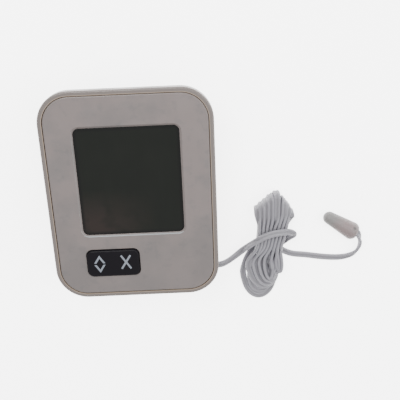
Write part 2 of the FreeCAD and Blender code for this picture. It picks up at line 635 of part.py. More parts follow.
def make_lcd_frame():
    """A frame on the board that holds the glass on a shelf and leaves room for the connector strip."""
    frame = slab("lcd_frame", "glass_width + 2 * (glass_gap + frame_wall)",
                 "glass_height + 2 * (glass_gap + frame_wall)", "frame_wall", "board_top",
                 "glass_top - board_top", "window_x", "window_y")
    glass = new_sketch(frame, "window_x", "window_y", "reflector_low")
    pocket(frame, rectangle(glass, "glass_width + 2 * glass_gap", "glass_height + 2 * glass_gap"),
           "glass_top - reflector_low")
    hollow = new_sketch(frame, "window_x", "rear_glass_y", "board_top")
    pocket(frame, rectangle(hollow, "strip_width", "rear_glass_height - 2 * frame_shelf"),
           "reflector_low - board_top")
    strip = new_sketch(frame, "window_x", "strip_y", "board_top")
    pocket(frame, rectangle(strip, "strip_width + 2 * glass_gap", "zebra_width + 2 * glass_gap"),
           "reflector_low - board_top")


# ---------------------------------------------------------------- the board

def make_board():
    """The circuit board with notches for the posts, screw holes and slots for the battery tabs."""
    board = slab("circuit_board", "board_width", "board_height", "board_corner", "board_low", "board_thick")
    pocket(board, circles(new_sketch(board, out="board_low"), "post_radius + board_gap", CASE_SCREWS),
           "board_thick")
    pocket(board, circles(new_sketch(board, out="board_low"), "board_screw_radius + screw_gap", BOARD_SCREWS),
           "board_thick")
    for side in (-1, 1):
        tab = new_sketch(board, f"{side} * tab_x", "bay_y", "board_low")
        pocket(board, rectangle(tab, "tab_slot_width", "tab_slot_length"), "board_thick")


def chips(label, kind, places):
    """Small blocks of one kind, soldered under the board."""
    blocks = new_body(label)
    for x, y in places:
        foot = new_sketch(blocks, x, y, "board_low")
        pad(blocks, rectangle(foot, kind + "_width", kind + "_length"), kind + "_height", down=True)


def make_board_parts():
    """What is soldered under the board."""
    resin = new_body("chip_resin")
    pad(resin, circle(new_sketch(resin, "resin_x", "resin_y", "board_low"), "resin_radius"), "resin_height",
        down=True)
    round_edges(resin, "resin_round", flat_at("board_low - resin_height"))
    crystal = new_body("crystal_can")
    can = new_sketch(crystal, "crystal_y", "board_low - crystal_radius", "crystal_x", plane="YZ_Plane")
    pad(crystal, circle(can, "crystal_radius"), "crystal_length")
    wires = new_sketch(crystal, "crystal_y", "board_low - crystal_radius / 2", "crystal_x", plane="YZ_Plane")
    pad(crystal, circles(wires, "crystal_wire", [("crystal_pitch / 2", "0"), ("-crystal_pitch / 2", "0")]),
        "crystal_reach", down=True)
    chips("chip_resistors", "resistor", [(f"resistor_x + {step} * resistor_pitch",
                                          f"resistor_y - {step % 2} * resistor_row")
                                         for step in range(RESISTOR_COUNT)])
    chips("chip_capacitors", "capacitor", [(f"capacitor_x + {step} * capacitor_pitch",
                                            f"capacitor_y + {step % 2} * capacitor_row")
                                           for step in range(CAPACITOR_COUNT)])
    sensor = new_body("room_sensor")
    wires = new_sketch(sensor, "sensor_x", "sensor_y", "board_low - sensor_drop")
    pad(sensor, circles(wires, "sensor_wire", [("0", "sensor_pitch / 2"), ("0", "-sensor_pitch / 2")]),
        "sensor_drop")
    bead = sensor.newObject("PartDesign::AdditiveSphere", "room_sensor_bead")
    bead.setExpression("Radius", formula("sensor_radius"))
    for axis, rule in zip("xyz", ("sensor_x", "sensor_y", "board_low - sensor_drop")):
        bead.setExpression("Placement.Base." + axis, formula(rule))
    document.recompute()


# ---------------------------------------------------------------- the key

def make_key():
    """The rocking pad with its axle and two plungers, and its inlaid symbols."""
    key = new_body("key_rocker")
    top = new_sketch(key, "key_x", "key_y", "key_low")
    pad(key, rounded_rectangle(top, "key_width", "key_height", "key_corner"), "key_top - key_low")
    round_edges(key, "key_round", flat_at("key_top"))
    web = new_sketch(key, "key_x", "key_y", "axle_z - axle_radius")
    pad(key, rectangle(web, "web_width", "key_height - 2 * key_gap"), "key_low - axle_z + axle_radius")
    axle = new_sketch(key, "key_x", "axle_z", "-key_y", plane="XZ_Plane")
    pad(key, circle(axle, "axle_radius"), "2 * (ear_y + ear_thick / 2 - axle_gap)", both_ways=True)
    plungers = new_sketch(key, "key_x", "key_y", "dome_top")
    pad(key, circles(plungers, "plunger_radius", [("plunger_x", "0"), ("-plunger_x", "0")]),
        "key_low - dome_top")
    solid("key_symbols", Part.makeCompound(arrowheads() + [cross()]))


def bar(start, end):
    """A flat stroke of a symbol from one point of the key's top to another."""
    along = end - start
    side = Vector(-along.y, along.x, 0).normalize() * (value("symbol_stroke") / 2)
    corners = [start - side, end - side, end + side, start + side]
    face = Part.Face(Part.makePolygon(corners + corners[:1]))
    return face.extrude(Vector(0, 0, value("symbol_thick")))


def key_point(x, y):
    """A point of the key's top, from its middle."""
    return Vector(value("key_x") + x, value("key_y") + y, value("key_top"))


def arrowheads():
    """One arrowhead up and one down, with a gap between them."""
    middle, half, stroke = value("arrows_x"), value("symbol_width") / 2, value("symbol_stroke")
    low, rise = value("arrow_split") / 2, value("arrow_height")
    # The stroke's width is measured square to an arrowhead's slanted sides.
    slant = math.hypot(half, rise)
    inset, drop = stroke * slant / rise, stroke * slant / half
    heads = []
    for way in (1, -1):
        outline = [(-half, low), (0, low + rise), (half, low), (half - inset, low), (0, low + rise - drop),
                   (inset - half, low)]
        points = [key_point(middle + x, way * y) for x, y in outline]
        face = Part.Face(Part.makePolygon(points + points[:1]))
        heads.append(face.extrude(Vector(0, 0, value("symbol_thick"))))
    return heads


def cross():
    """Two crossed strokes."""
    middle, lift, stroke = value("cross_x"), value("cross_y"), value("symbol_stroke")
    across, up = (value("symbol_width") - stroke) / 2, (value("cross_height") - stroke / 2) / 2
    strokes = [bar(key_point(middle - way * across, lift + up), key_point(middle + way * across, lift - up))
               for way in (1, -1)]
    return strokes[0].fuse(strokes[1]).removeSplitter()


def make_dome_mat():
    """A rubber sheet on the board with a dome under each plunger."""
    mat = slab("dome_mat", "mat_width", "mat_height", "mat_corner", "board_top", "mat_thick",
               "key_x", "key_y")
    for side in (-1, 1):
        dome = new_sketch(mat, f"key_x + {side} * plunger_x", "key_y", "mat_top")
        pad(mat, circle(dome, "dome_radius"), "dome_height", taper="-dome_slope")


# ---------------------------------------------------------------- the battery and its door

def make_battery():
    """The cell with its nub, and a contact plate at each end whose tab rises to the board."""
    cell = new_body("battery_cell")
    for radius, start, length in (("cell_radius", "cell_end - nub_length - cell_length", "cell_length"),
                                  ("nub_radius", "cell_end - nub_length", "nub_length")):
        disc = new_sketch(cell, "bay_y", "cell_z", start, plane="YZ_Plane")
        pad(cell, circle(disc, radius), length)
    for label, side in (("spring_contact", "-1"), ("cell_contact", "1")):
        plate = new_body(label)
        centre = f"{side} * tab_x"
        flat = new_sketch(plate, centre, "bay_y", "cell_z - contact_width / 2")
        pad(plate, rectangle(flat, "contact_thick", "contact_width"), "contact_width")
        tab = new_sketch(plate, centre, "bay_y", "cell_z")
        pad(plate, rectangle(tab, "contact_thick", "contact_tab"), "board_top - cell_z")


def make_battery_spring():
    """A coil pressed between the contact plate and the cell's flat end."""
    wire, turns = value("spring_wire"), value("spring_turns")
    start = -value("bay_length") / 2 + value("contact_thick") + wire / 2
    end = value("cell_end - nub_length - cell_length") - wire / 2
    path = Part.makeHelix((end - start) / turns, end - start, value("spring_radius"))
    section = Part.Wire(Part.makeCircle(wire / 2, Vector(value("spring_radius"), 0, 0), Vector(0, 1, 0)))
    coil = Part.Wire(path).makePipeShell([section], True, True)
    spring = solid("battery_spring", coil)
    turn = FreeCAD.Rotation(Vector(0, 1, 0), 90)
    spring.Placement = FreeCAD.Placement(Vector(start, value("bay_y"), value("cell_z")), turn)


def make_battery_door():
    """A plate that tilts out about its hooked edge, with a spring latch cut into the other edge."""
    door = slab("battery_door", "door_width", "door_height", "door_corner", "flush_gap", "door_thick",
                up="bay_y")
    stem_y = "bay_y + bay_height / 2 - door_gap - hook_thick / 2"
    for side in (-1, 1):
        stem = new_sketch(door, f"{side} * hook_x", stem_y, "door_top")
        pad(door, rectangle(stem, "hook_width", "hook_thick"),
            "back_wall - door_top + hook_lift + hook_thick")
        hook = new_sketch(door, f"{side} * hook_x", f"{stem_y} + (door_gap + hook_reach) / 2",
                          "back_wall + hook_lift")
        pad(door, rectangle(hook, "hook_width", "hook_thick + door_gap + hook_reach"), "hook_thick")
        slit = new_sketch(door, f"{side} * (latch_width + latch_slit) / 2",
                          "bay_y - (door_height - latch_length) / 2 - latch_slit / 2", "flush_gap")
        pocket(door, rectangle(slit, "latch_slit", "latch_length + latch_slit"), "door_thick")
    for step in range(1, GRIP_COUNT + 1):
        grip = new_sketch(door, up=f"bay_y - door_height / 2 + {step} * grip_pitch", out="flush_gap")
        pocket(door, rectangle(grip, "latch_width - 2 * latch_slit", "grip_width"), "grip_depth")


# ---------------------------------------------------------------- the stand

def make_stand():
    """A leg on two pins, with a shallow panel between its rails."""
    leg = slab("stand_leg", "stand_width", "stand_length + stand_tail", "stand_corner", "flush_gap",
               "stand_thick", up="stand_y + (stand_length - stand_tail) / 2")
    square = new_sketch(leg, up="stand_y + stand_tail / 2", out="flush_gap")
    pad(leg, rectangle(square, "stand_width", "3 * stand_tail"), "stand_thick")
    panel = new_sketch(leg, up="stand_y + stand_length / 2", out="flush_gap")
    pocket(leg, rounded_rectangle(panel, "stand_width - 2 * stand_rail", "stand_length - 2 * stand_rail",
                                  "stand_corner / 2"), "panel_depth")
    round_edges(leg, "0.45 * stand_thick", lambda edge: edge.BoundBox.YMax < value("stand_y - stand_tail / 2")
                and edge.BoundBox.XLength > value("stand_width / 2"))
    pins = new_sketch(leg, "stand_y", "pin_z", plane="YZ_Plane")
    pad(leg, circle(pins, "pin_radius"), "2 * (stand_reach - pin_gap)", both_ways=True)


# ---------------------------------------------------------------- the screws

def make_screws(label, places, seat, head_radius, head_height, radius, length):
    """Pan-headed screws driven towards the front, each with a crossed recess in its head."""
    screws = new_body(label)
    head_low = f"({seat}) - ({head_height})"
    pad(screws, circles(new_sketch(screws, out=head_low), head_radius, places), head_height)
    pad(screws, circles(new_sketch(screws, out=seat), radius, places), length)
    for x, y in places:
        reach = f"{CROSS_SHARE} * {head_radius}"
        for width, height in ((reach, "cross_slot"), ("cross_slot", reach)):
            recess = new_sketch(screws, x, y, head_low)
            pocket(screws, rectangle(recess, width, height), f"{head_height} / 2")


# ---------------------------------------------------------------- the lead and the probe

# The lead from the case to the hank: out of the case, down to the surface and up over the hank's neck.
LEAD_ROUTE = [(32.8, -37.3, 9.8), (36.1, -37.3, 9.8), (39.7, -36.4, 6.6), (43.0, -35.2, 2.8),
              (47.3, -33.2, 1.2), (50.9, -31.2, 3.4), (53.9, -29.6, 5.8)]
# The lead from the hank to the probe: along the surface, round and into the probe's open end.
TAIL_ROUTE = [(64.6, -35.2, 1.1), (69.4, -37.6, 1.1), (75.6, -38.3, 1.1), (83.4, -39.8, 1.1),
              (91.4, -40.6, 1.1), (96.6, -39.6, 1.1), (99.6, -37.3, 1.1), (100.8, -33.9, 2.0),
              (100.9, -30.4, 3.9), (100.0, -28.4, 4.56), (98.4, -27.4, 4.37)]
# The hank's outline: place along Y, middle across, width and height.
HANK_SECTIONS = [(-5.6, 62.2, 3.0, 2.4), (-9.0, 61.8, 9.0, 4.4), (-15.2, 61.1, 17.6, 6.2),
                 (-21.0, 60.8, 15.6, 7.2), (-27.5, 60.0, 12.4, 8.2), (-34.5, 58.0, 15.4, 7.4),
                 (-43.5, 55.5, 19.6, 6.2), (-51.0, 54.4, 16.8, 4.8), (-57.0, 54.0, 8.6, 3.2),
                 (-59.6, 54.0, 3.0, 2.0)]
# The turn that ties the hank's neck: its middle, its width, thickness and height, and its slant in degrees.
WRAP_MIDDLE = (62.4, -28.0)
WRAP_SIZE = (17.4, 4.0, 9.2)
WRAP_TURN = 17.0
# The middle of the probe's open end, and the way that its tip points in degrees from +X.
PROBE_MOUTH = (98.4, -27.4)
PROBE_TURN = 148.0
# The share of the shorter run that a bend of the lead takes at each end.
BEND_SHARE = 0.45


def bend_radius(before, corner, after):
    """The largest arc that both runs allow, and the turn in radians."""
    incoming, outgoing = corner - before, after - corner
    turn = incoming.getAngle(outgoing)
    return BEND_SHARE * min(incoming.Length, outgoing.Length) / math.tan(turn / 2), turn


def lead_tube(label, route):
    """Straight runs joined by tangent arcs, swept with a round section."""
    points = [Vector(*point) for point in route]
    radius = value("lead_radius")
    edges, here, radii = [], points[0], []
    for before, corner, after in zip(points, points[1:], points[2:]):
        bend, turn = bend_radius(before, corner, after)
        radii.append(round(bend, 1))
        reach = bend * math.tan(turn / 2)
        start = corner + (before - corner).normalize() * reach
        end = corner + (after - corner).normalize() * reach
        inward = ((before - corner).normalize() + (after - corner).normalize()).normalize()
        crown = corner + inward * (bend / math.cos(turn / 2) - bend)
        edges.append(Part.LineSegment(here, start).toShape())
        edges.append(Part.Arc(start, crown, end).toShape())
        here = end
    edges.append(Part.LineSegment(here, points[-1]).toShape())
    path = Part.Wire(edges)
    section = Part.Wire(Part.makeCircle(radius, points[0], points[1] - points[0]))
    tube = path.makePipeShell([section], True, True)
    ratio = tube.Volume / (math.pi * radius ** 2 * path.Length)
    print(f"{label}: radii {radii}, length {path.Length:.1f}, volume ratio {ratio:.4f}")
    solid(label, tube)


def make_hank():
    """The outer form of the wound lead, tied round its middle by one turn of itself."""
    rings = []
    for along, middle, width, height in HANK_SECTIONS:
        oval = Part.Ellipse(Vector(middle, along, height / 2), max(width, height) / 2, min(width, height) / 2)
        oval.Axis = Vector(0, 1, 0)
        oval.XAxis = Vector(1, 0, 0)
        rings.append(Part.Wire(oval.toShape()))
    bundle = Part.makeLoft(rings, True, False)
    width, thick, height = WRAP_SIZE
    oval = Part.Ellipse(Vector(0, -thick / 2, height / 2), width / 2, height / 2)
    oval.Axis = Vector(0, 1, 0)
    oval.XAxis = Vector(1, 0, 0)
    wrap = Part.Face(Part.Wire(oval.toShape())).extrude(Vector(0, thick, 0))
    wrap.rotate(Vector(0, 0, 0), Vector(0, 0, 1), WRAP_TURN)
    wrap.translate(Vector(*WRAP_MIDDLE, 0))
    solid("cord_hank", bundle.fuse(wrap))


def make_grommet():
    """A sleeve in the case's wall with a flange inside, moulded round the lead."""
    grommet = new_body("cord_grommet")
    sleeve = new_sketch(grommet, "lead_y", "lead_z", "grommet_inner", plane="YZ_Plane")
    pad(grommet, circle(sleeve, "grommet_radius"), "lead_start - grommet_inner")
    flange = new_sketch(grommet, "lead_y", "lead_z", "grommet_inner", plane="YZ_Plane")
    pad(grommet, circle(flange, "flange_radius"), "flange_thick")


def make_inner_lead():
    """The lead inside the case, from the grommet in, along and up to the board."""
    inner, row, level = value("grommet_inner"), value("lead_y"), value("lead_z")
    column, pads = value("grommet_inner - lead_inward"), value("lead_y + lead_across")
    climbed, under = value("lead_z + lead_climb"), value("board_low")
    lead_tube("inner_lead", [(inner, row, level), (column, row, level), (column, pads, climbed),
                             (column, pads, under)])


def make_probe():
    """A bullet-shaped shell, its sensor bead and the resin that fills it."""
    length, mouth, tip = value("probe_length"), value("probe_radius"), value("probe_tip_radius")
    wall, rounding, bead = value("probe_wall"), value("probe_round"), value("bead_radius")
    tip_start = length - tip
    slope = (mouth - tip) / (tip_start - rounding)

    def turned(points):
        """Revolve a half profile of arcs and lines round the X axis."""
        curves = [Part.Arc(*ends) if len(ends) == 3 else Part.LineSegment(*ends) for ends in points]
        edges = [curve.toShape() for curve in curves]
        return Part.Face(Part.Wire(edges)).revolve(Vector(0, 0, 0), Vector(1, 0, 0), 360)

    def bullet(inset, start):
        """The outer form, moved inwards by inset and cut off square at start where inset isn't nought."""
        end_radius, point = tip - inset, Vector(length - inset, 0, 0)
        low = Vector(tip_start, end_radius, 0)
        half = math.sqrt(0.5)
        crown = Vector(tip_start + end_radius * half, end_radius * half, 0)
        edges = [(low, crown, point), (point, Vector(start, 0, 0))]
        if inset:
            high = Vector(start, mouth - inset - slope * max(start - rounding, 0), 0)
            return edges + [(Vector(start, 0, 0), high), (high, low)]
        shoulder = Vector(rounding, mouth, 0)
        lip = Vector(0, mouth - rounding, 0)
        mid = Vector(rounding * (1 - half), mouth - rounding * (1 - half), 0)
        return edges + [(Vector(0, 0, 0), lip), (lip, mid, shoulder), (shoulder, low)]

    outside = turned(bullet(0.0, 0.0))
    core = turned(bullet(wall, rounding))
    throat = Part.makeCylinder(value("lead_radius") + wall, rounding, Vector(0, 0, 0), Vector(1, 0, 0))
    throat = throat.common(outside)
    middle = Vector(tip_start - bead, 0, 0)
    ball = Part.makeSphere(bead, middle)
    filling = core.fuse(throat).removeSplitter()
    # The probe lies on the surface, so its axis sinks towards the tip.
    sink = math.degrees(math.atan2(mouth - tip, tip_start - rounding))
    turn = FreeCAD.Rotation(Vector(0, 0, 1), PROBE_TURN).multiply(FreeCAD.Rotation(Vector(0, 1, 0), sink))
    rise = mouth / math.cos(math.radians(sink)) + rounding * math.tan(math.radians(sink))
    place = FreeCAD.Placement(Vector(*PROBE_MOUTH, rise), turn)
    for label, shape in (("probe_shell", outside.cut(filling)), ("probe_filler", filling.cut(ball)),
                         ("probe_bead", ball)):
        solid(label, shape).Placement = place


make_rear_shell()
make_front_cover()
make_display()
make_lcd_frame()
make_board()
make_board_parts()
make_key()
make_dome_mat()
make_battery()
make_battery_spring()
make_battery_door()
make_stand()
make_screws("case_screws", CASE_SCREWS, "head_seat", "screw_head_radius", "screw_head_height",
            "screw_radius", "screw_length")
make_screws("board_screws", BOARD_SCREWS, "board_low", "board_head_radius", "board_head_height",
            "board_screw_radius", "board_screw_length")
make_grommet()
make_inner_lead()
lead_tube("cord_lead", LEAD_ROUTE)
make_hank()
lead_tube("cord_tail", TAIL_ROUTE)
make_probe()

document.recompute()
for item in document.Objects:
    if "Invalid" in item.State or "Error" in item.State:
        raise RuntimeError(f"{item.Label} did not recompute")
for piece in pieces:
    if piece.Shape.isNull() or not piece.Shape.isValid() or not piece.Shape.Solids:
        raise RuntimeError(f"{piece.Label} has no sound shape")
os.makedirs("parts", exist_ok=True)
for piece in pieces:
    piece.Shape.exportStep(f"parts/{piece.Label}.step")
    box = piece.Shape.BoundBox
    print(f"{piece.Label}: {len(piece.Shape.Solids)} solids, {piece.Shape.Volume:.1f} mm3, "
          f"x {box.XMin:.2f}..{box.XMax:.2f} y {box.YMin:.2f}..{box.YMax:.2f} "
          f"z {box.ZMin:.2f}..{box.ZMax:.2f}")
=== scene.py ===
import json
import math

import bpy
from mathutils import Matrix, Vector


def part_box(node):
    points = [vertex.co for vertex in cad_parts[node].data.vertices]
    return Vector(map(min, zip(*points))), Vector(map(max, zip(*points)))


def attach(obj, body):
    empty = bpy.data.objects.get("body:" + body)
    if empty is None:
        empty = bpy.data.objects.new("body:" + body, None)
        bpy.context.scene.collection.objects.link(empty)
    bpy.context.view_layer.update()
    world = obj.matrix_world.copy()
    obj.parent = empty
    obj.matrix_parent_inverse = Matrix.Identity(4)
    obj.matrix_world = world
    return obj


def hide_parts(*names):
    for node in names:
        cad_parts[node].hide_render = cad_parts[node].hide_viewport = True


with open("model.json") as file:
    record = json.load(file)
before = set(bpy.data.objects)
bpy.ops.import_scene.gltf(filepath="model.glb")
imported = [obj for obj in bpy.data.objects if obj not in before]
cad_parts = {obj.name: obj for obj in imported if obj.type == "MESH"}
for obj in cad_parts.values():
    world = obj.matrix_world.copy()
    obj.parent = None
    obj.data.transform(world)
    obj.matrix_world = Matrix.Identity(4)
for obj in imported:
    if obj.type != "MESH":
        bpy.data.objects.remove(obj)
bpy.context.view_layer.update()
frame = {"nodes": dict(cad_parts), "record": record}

nodes = frame["nodes"]
MM = 0.001
UP = Vector((0, 0, 1))


def metres(point):
    """A point given in millimetres, in the scene's metres."""
    return Vector(point) * MM


# ---------------------------------------------------------------- the camera
# Where it stands, in millimetres, and the ways that the picture's right and down point.
EYE = (27.346, 83.222, 253.27)
IMAGE_RIGHT = (0.99907, -0.03947, 0.01749)
IMAGE_DOWN = (-0.04308, -0.93816, 0.3435)
LENS = 54.0
SENSOR = 36.0
NEAREST = 0.01


def stand_camera():
    """The photograph's viewpoint: above the thermometer's top end, looking down on its face."""
    right, up = Vector(IMAGE_RIGHT), -Vector(IMAGE_DOWN)
    turned = Matrix((right, up, right.cross(up))).transposed().to_4x4()
    data = bpy.data.cameras.new("camera")
    data.lens = LENS
    data.sensor_width = SENSOR
    data.clip_start = NEAREST
    camera = bpy.data.objects.new("camera", data)
    camera.matrix_world = Matrix.Translation(metres(EYE)) @ turned
    bpy.context.scene.collection.objects.link(camera)
    bpy.context.scene.camera = camera


stand_camera()

# ---------------------------------------------------------------- the lead's route, in millimetres
# Each point of the route comes with the way that the lead's width lies there.
FLAT_Y = (0, 1, 0)
ACROSS_NECK = (0.3, 1, -0.4)
# Out of the case, over the hank's neck, round it, and back under it.
OVER_ROUTE = [
    ((32.8, -37.3, 9.8), FLAT_Y), ((36.1, -37.4, 9.8), FLAT_Y), ((39.4, -37.6, 6.4), FLAT_Y),
    ((42.8, -36.7, 3.4), FLAT_Y), ((46.2, -33.9, 3.4), (0.4, 1, 0.1)),
    ((49.2, -30.5, 5.6), (0.5, 1, -0.1)), ((52.2, -27.3, 8.6), (0.4, 1, -0.3)),
    ((55.6, -25.0, 9.4), ACROSS_NECK), ((59.6, -23.5, 9.5), ACROSS_NECK),
    ((63.4, -23.1, 9.3), (0.1, 1, -0.45)), ((66.9, -23.4, 8.2), (0.3, 0.9, -0.4)),
    ((69.4, -24.9, 6.6), (0.8, 0.3, -0.15)), ((69.6, -26.4, 5.3), (0.8, -0.4, 0.0)),
    ((67.6, -27.9, 3.9), (0.65, -0.65, 0.1)), ((65.2, -31.2, 1.4), (0.5, -0.8, 0.2)),
    ((61.4, -32.8, 0.8), (0, -1, 0)), ((57.0, -32.2, 0.8), (0.1, -1, 0)),
    ((52.4, -33.2, 0.8), (0.5, -0.9, 0)), ((49.2, -37.2, 0.8), (0.9, -0.5, 0))]
# From the hank along the floor, and up into the probe's open end.
TAIL_ROUTE = [
    ((64.6, -35.2, 1.1), FLAT_Y), ((69.4, -37.6, 1.0), FLAT_Y), ((75.6, -38.3, 0.9), FLAT_Y),
    ((83.4, -39.8, 0.9), FLAT_Y), ((91.4, -40.6, 0.9), (0, 1, 0.1)), ((96.6, -39.6, 1.2), (-0.4, 1, 0.5)),
    ((99.6, -37.3, 1.6), (-0.4, 0.4, 1)), ((100.7, -33.9, 2.3), (-0.1, 0.2, 1)),
    ((100.2, -30.9, 4.0), (-0.1, 0.5, 1)), ((99.3, -28.2, 5.4), (-0.6, 0.1, 0.8)),
    ((98.3, -26.2, 6.4), (-0.8, -0.4, 0.45)), ((97.0, -24.8, 6.5), (-0.6, -0.7, 0.2)),
    ((96.0, -24.2, 5.0), (-0.6, -0.7, 0.2))]
# Where a notch's shade is painted as a dark spot beside the lead, where it goes in.
PROBE_NOTCH_SHADE_SPOT = (96.75, -23.5, 7.5)

# The neck's two rows of strands, by their height.
FRONT_HEIGHT = 6.2
BACK_HEIGHT = 3.1
# Three places up the neck: how far up, where its first column stands, the columns' pitch, and how that
# widens.
NECK = [(-32.0, 53.1, 1.48, 0.0), (-27.0, 53.9, 1.48, 0.018), (-21.5, 54.3, 1.66, 0.0)]

# Each column's fold in the upper lobe: where it stands across, where its top lies, and its slant.
FAN = [(53.6, -12.6, 0.85), (55.5, -10.9, 0.85), (57.4, -9.3, 0.85), (59.3, -7.6, 0.75), (61.9, -6.2, 0.15),
       (65.0, -9.3, -1.4), (66.9, -11.9, -1.6), (68.4, -14.6, -1.4)]
# Where that lobe is highest off the floor, its height there, and how it falls to both sides.
FAN_CROWN = (60.8, 7.0, 0.025)
# The strands' faces lean outwards from that lobe's middle: how steeply, and how far from it fully so.
FAN_MIDDLE = 62.4
FAN_LEAN = 0.45
FAN_SPREAD = 2.0
# A fold starts and ends at its feet, and bends this far before its top.
BACK_FOOT, FRONT_FOOT = -16.4, -16.6
BACK_BEND, FRONT_BEND = 3.0, 3.2
# How high its back row lies at the foot, the bend and the top, and how much its front row bulges.
FOOT_HEIGHT, BEND_HEIGHT, TOP_HEIGHT = 1.8, 1.0, 0.9
FRONT_BULGE = 0.2

# The lower lobe's loops: left, right, middle, depth below it, height off the floor, lean, and how much
# their foot lies to the right.
LOOPS = {
    "A": (46.6, 62.0, -46.5, 13.0, 0.8, 0.0, 0.0),
    "B": (49.8, 61.4, -46.0, 10.4, 0.9, 0.1, -0.9),
    "C": (48.9, 62.4, -41.5, 11.6, 3.3, 0.1, 1.1),
    "D": (51.7, 61.6, -40.5, 10.9, 4.2, 0.4, 1.0),
    "E": (54.2, 61.0, -40.0, 9.3, 4.8, 0.5, 0.9),
    "F": (56.4, 59.8, -39.5, 8.1, 5.2, 0.6, 0.6),
    "G": (59.2, 62.8, -39.0, 6.2, 5.3, 0.9, 0.9),
    "H": (61.3, 64.3, -38.5, 6.0, 5.4, 1.0, 0.6),
}
LOOP_ANGLES = (180, 225, 270, 315, 360)
# A loop's shoulder, from the left end of its middle, and the way that the lead's width lies there.
SHOULDER = (0.6, 3.4)
SHOULDER_WIDE = (-1, 0.3, 0)
# The share of its drop that a loop still has at its shoulder and at its left side, and the share of its
# height that it rises by at its right side.
SHOULDER_DROP, SIDE_DROP, SIDE_RISE = 0.6, 0.3, 0.1

# Each turn: its lower loop, and the column of the neck and the upper lobe that it goes round.
TURNS = [("A", 4), ("F", 3), ("E", 2), ("D", 1), ("B", 0), ("C", 5), ("G", 6), ("H", 7)]


def neck(column, height):
    """The lead on edge through the neck, from below it to above it."""
    return [(Vector((first + pitch * column + widening * column ** 2, y, height)), UP)
            for y, first, pitch, widening in NECK]


def lower_loop(name, start):
    """One open loop of the lower lobe: down its left side from the height of its start, and up its right."""
    left, right, middle, depth, height, lean, skew = LOOPS[name]
    drop = start - height
    shoulder = Vector((left + SHOULDER[0], middle + SHOULDER[1], height + SHOULDER_DROP * drop))
    points = [(shoulder, Vector(SHOULDER_WIDE).lerp(UP, lean))]
    for angle in LOOP_ANGLES:
        out = Vector((math.cos(math.radians(angle)), math.sin(math.radians(angle)), 0))
        rise = abs(out.x) ** 3 * (SIDE_DROP * drop if out.x < 0 else SIDE_RISE * height)
        x = (left + right) / 2 + out.x * (right - left) / 2 - out.y * skew
        points.append((Vector((x, middle + depth * out.y, height + rise)), out.lerp(UP, lean)))
    return points


def upper_fold(column):
    """A fold of the upper lobe: up from the back row, over, and down to the front row."""
    across, top, slant = FAN[column]
    crown, height, fall = FAN_CROWN
    high = height - fall * (across - crown) ** 2
    lean = FAN_LEAN * max(-1, min(1, (FAN_MIDDLE - across) / FAN_SPREAD))
    wide, slanted = Vector((1, 0, lean)), Vector((1, slant, lean))
    places = [(BACK_FOOT, FOOT_HEIGHT, wide), (top - BACK_BEND, BEND_HEIGHT, slanted),
              (top, TOP_HEIGHT, slanted), (top, high, slanted),
              (top - FRONT_BEND, high + FRONT_BULGE, wide), (FRONT_FOOT, high, wide)]
    return [(Vector((across, y, z)), way) for y, z, way in places]


def hank():
    """The whole winding, turn by turn."""
    route, start = [], OVER_ROUTE[-1][0][2]
    for loop, column in TURNS:
        route += lower_loop(loop, start) + neck(column, BACK_HEIGHT)
        route += upper_fold(column) + neck(column, FRONT_HEIGHT)[::-1]
        start = FRONT_HEIGHT
    return route


ROUTE = [(Vector(point), Vector(wide)) for point, wide in OVER_ROUTE + hank() + TAIL_ROUTE]
# The line is a quadratic spline, so each point pulls most in the middle of a span.
LINE_ORDER = 3
LINE_STEPS = 8


def smooth_line(points):
    """The points of a NURBS spline that has the given control points."""
    data = bpy.data.curves.new("route", "CURVE")
    data.dimensions = "3D"
    spline = data.splines.new("NURBS")
    spline.points.add(len(points) - 1)
    for place, point in zip(spline.points, points):
        place.co = (*point, 1)
    spline.order_u = LINE_ORDER
    spline.use_endpoint_u = True
    spline.resolution_u = LINE_STEPS
    holder = bpy.data.objects.new("route", data)
    mesh = bpy.data.meshes.new_from_object(holder)
    line = [vertex.co.copy() for vertex in mesh.vertices]
    bpy.data.objects.remove(holder)
    bpy.data.meshes.remove(mesh)
    return line


def width_along(share):
    """The way the lead's width lies at a share of the line, between the points that pull most there."""
    spans = len(ROUTE) - LINE_ORDER + 1
    pulls = [0] + [span + 0.5 for span in range(spans)] + [spans]
    at = share * spans
    i = sum(pull <= at for pull in pulls[1:-1])
    return WIDTHS[i].lerp(WIDTHS[i + 1], (at - pulls[i]) / (pulls[i + 1] - pulls[i]))


def same_side(widths):
    """The widths, each turned to the side of the one before: the lead looks the same from both."""
    turned = [widths[0].normalized()]
    for wide in widths[1:]:
        wide = wide.normalized()
        turned.append(wide if wide.dot(turned[-1]) >= 0 else -wide)
    return turned


WIDTHS = same_side([wide for point, wide in ROUTE])

# ---------------------------------------------------------------- the twin lead
# The radius of a core, how far the two stand apart, and half the thickness of the web between them.
CORE = 0.76 * MM
CORE_SPACING = 1.46 * MM
WEB = 0.54 * MM
CORE_SIDES = 9


def twin_section():
    """The lead's outline: two round cores, joined by a web that leaves a shallow groove on each face."""
    meet = math.asin(WEB / CORE)
    outline = []
    for side in (1, -1):
        for i in range(CORE_SIDES):
            angle = (math.pi - meet) * (2 * i / (CORE_SIDES - 1) - 1)
            across = CORE_SPACING / 2 + CORE * math.cos(angle)
            outline.append((side * across, side * CORE * math.sin(angle)))
    return outline


